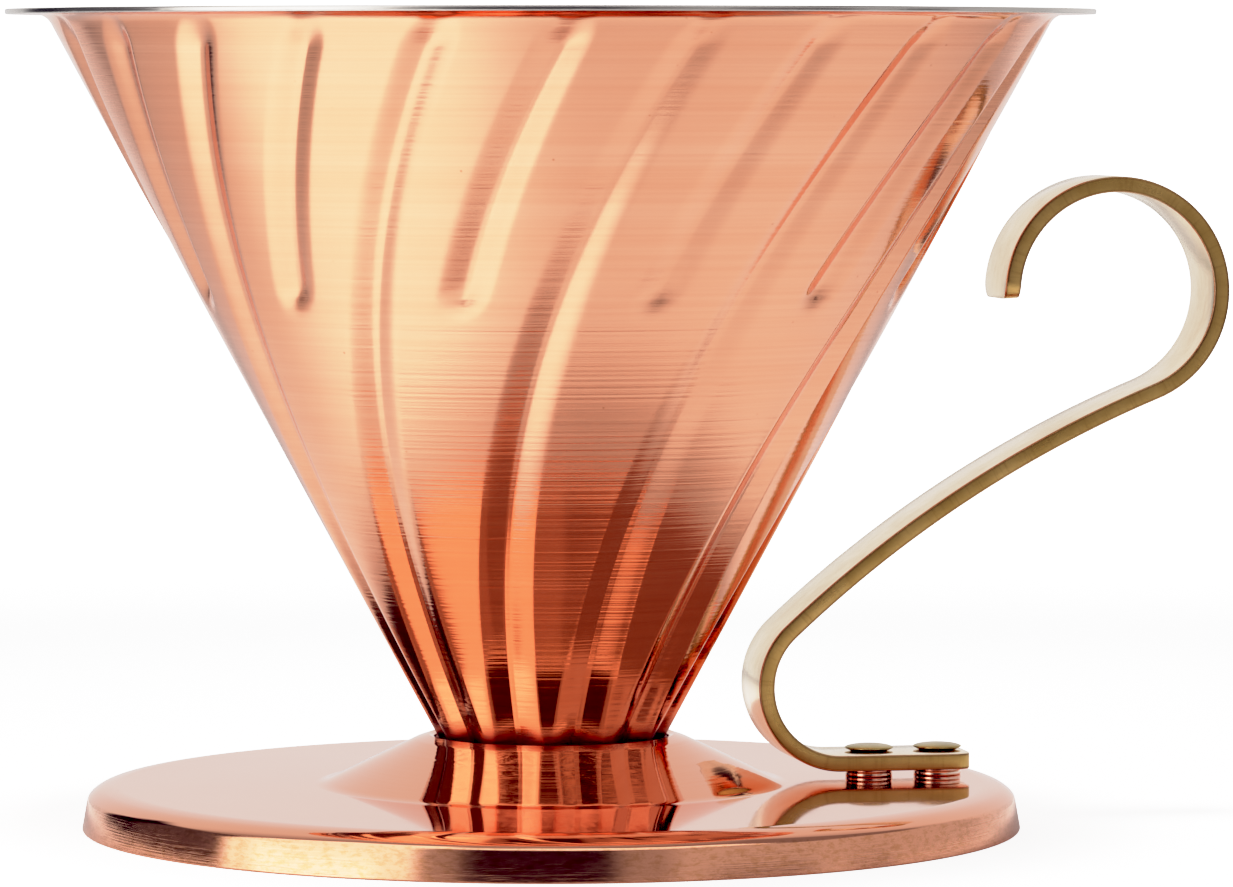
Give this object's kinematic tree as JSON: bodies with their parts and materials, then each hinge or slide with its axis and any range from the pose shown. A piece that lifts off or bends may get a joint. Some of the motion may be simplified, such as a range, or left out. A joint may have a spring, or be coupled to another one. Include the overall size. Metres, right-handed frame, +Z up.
{
  "type": "pour over dripper",
  "caption": "Cone coffee dripper: thin copper cone with spiral grooves on a flared round base plate, with a looped brass bar handle riveted to the plate.",
  "frame": {"origin": "on the surface it stands on, under the middle of the whole length and width", "axes": "+Z up along the cone's axis direction, +X towards the handle; the cone's axis is at x = -0.00817 m, y = 0"},
  "size_m": [0.1374, 0.121, 0.0912],
  "materials": {
    "cone_copper": "fine spun satin",
    "cone_lining": "satin tin plating",
    "plate_copper": "polished",
    "handle_brass": "satin, slightly tarnished edges",
    "rivet_brass": "satin",
    "washer_copper": "polished edges",
    "solder": "dull solder"
  },
  "bodies": {
    "root": {"cone_body": "cone_copper", "base_plate": "plate_copper", "solder_ring": "solder", "handle": "handle_brass", "rivet_inner": "rivet_brass", "rivet_outer": "rivet_brass", "washer_inner_lower": "washer_copper", "washer_inner_upper": "washer_copper", "washer_outer_lower": "washer_copper", "washer_outer_upper": "washer_copper"}
  },
  "joints": []
}
